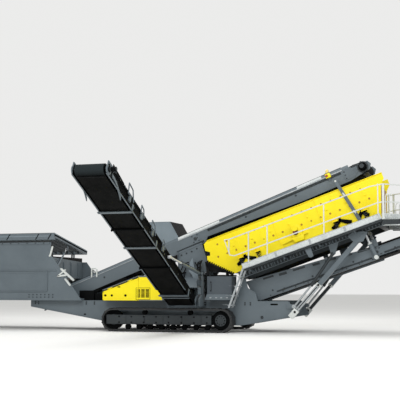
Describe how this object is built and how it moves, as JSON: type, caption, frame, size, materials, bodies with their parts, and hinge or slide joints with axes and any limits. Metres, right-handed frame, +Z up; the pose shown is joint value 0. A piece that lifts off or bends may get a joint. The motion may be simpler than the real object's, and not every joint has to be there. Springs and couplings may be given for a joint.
{
  "type": "tracked mobile screening plant",
  "caption": "Tracked screening plant: feed hopper with tipping grid, main conveyor to an inclined double-deck screen box, side conveyor, fines conveyor and walkways.",
  "frame": {"origin": "on the ground midway between the two tracks and midway between the track axles", "axes": "+X towards the fines conveyor head, +Y away from the side conveyor, +Z up"},
  "size_m": [17.8824, 9.0474, 4.5591],
  "materials": {
    "grey_paint": "satin",
    "yellow_paint": "satin",
    "black_rubber": "matte",
    "galvanised_steel": "satin",
    "worn_steel": "worn",
    "dark_paint": "matte"
  },
  "bodies": {
    "machine": {"belt_hood": "grey_paint", "canopy_panels": "yellow_paint", "chassis_crossbeams": "grey_paint", "chassis_side_plates": "grey_paint", "conveyor_struts": "grey_paint", "discharge_chute": "grey_paint", "drive_motors": "dark_paint", "engine_housing": "dark_paint", "exciter": "grey_paint", "feeder_belt": "black_rubber", "feeder_drums": "dark_paint", "feeder_frame": "grey_paint", "fines_plates": "grey_paint", "gantry_plates": "grey_paint", "handrails": "galvanised_steel", "hopper_chutes": "worn_steel", "hopper_end_walls": "grey_paint", "hopper_sides": "grey_paint", "hydraulic_tank": "grey_paint", "ladder": "galvanised_steel", "leg_inner_tubes": "galvanised_steel", "leg_outer_tubes": "grey_paint", "lift_cylinders": "grey_paint", "link_cylinders": "grey_paint", "main_belt": "black_rubber", "main_frame": "grey_paint", "main_rollers": "dark_paint", "rear_platform": "galvanised_steel", "screen_cross_tubes": "yellow_paint", "screen_decks": "worn_steel", "screen_end_plate": "yellow_paint", "screen_side_plates": "yellow_paint", "screen_springs": "black_rubber", "side_conveyor_mount": "grey_paint", "subframe": "grey_paint", "subframe_posts": "grey_paint", "tail_belt": "black_rubber", "tail_frame": "grey_paint", "tail_rollers": "dark_paint", "track_chains": "worn_steel", "track_frames": "grey_paint", "track_wheels": "dark_paint", "walkways": "galvanised_steel"},
    "side_conveyor": {"side_frame": "grey_paint", "side_belt": "black_rubber", "side_rollers": "dark_paint", "side_head_motor": "dark_paint"},
    "lift_barrel": {"lift_ram_barrel": "grey_paint"},
    "lift_rod": {"lift_ram_rod": "worn_steel"},
    "tipping_grid": {"grid_side_beams": "grey_paint", "grid_end_beams": "grey_paint", "grid_bars": "grey_paint"},
    "grid_barrels": {"grid_ram_barrels": "grey_paint"},
    "grid_rods": {"grid_ram_rods": "worn_steel"},
    "door": {"canopy_door": "yellow_paint"}
  },
  "joints": [
    {"name": "side_lift", "type": "hinge", "parent": "machine", "child": "side_conveyor", "pos_m": [0.49, -1.45, 0.85], "axis": [-1, 0, 0], "range_deg": [0, 64]},
    {"name": "lift_ram_swing", "type": "hinge", "parent": "machine", "child": "lift_barrel", "pos_m": [0.936, -1.18, 1.56], "axis": [-1, 0, 0], "range_deg": [0, 72.53]},
    {"name": "lift_ram_slide", "type": "slide", "parent": "lift_barrel", "child": "lift_rod", "axis": [0, 0.9889, -0.1487], "range_m": [0, 0.7381]},
    {"name": "grid_tip", "type": "hinge", "parent": "machine", "child": "tipping_grid", "pos_m": [-5.775, 1.168, 2.26], "axis": [-1, 0, 0], "range_deg": [0, 35]},
    {"name": "grid_ram_swing", "type": "hinge", "parent": "machine", "child": "grid_barrels", "pos_m": [-5.775, -0.9, 1.65], "axis": [1, 0, 0], "range_deg": [0, 11.96]},
    {"name": "grid_ram_slide", "type": "slide", "parent": "grid_barrels", "child": "grid_rods", "axis": [0, 0.7408, 0.6717], "range_m": [0, 0.7442]},
    {"name": "door_hinge", "type": "hinge", "parent": "machine", "child": "door", "pos_m": [-1.91378, -1.2, 1.10579], "axis": [-0.9402, 0, -0.3407], "range_deg": [0, 80]}
  ],
  "couplings": [
    {"joint": "lift_ram_swing", "follows": "side_lift", "ratio": 1.1331},
    {"joint": "lift_ram_slide", "follows": "side_lift", "m_per_rad": 0.6603},
    {"joint": "grid_ram_swing", "follows": "grid_tip", "ratio": 0.34143},
    {"joint": "grid_ram_slide", "follows": "grid_tip", "m_per_rad": 1.2174}
  ]
}
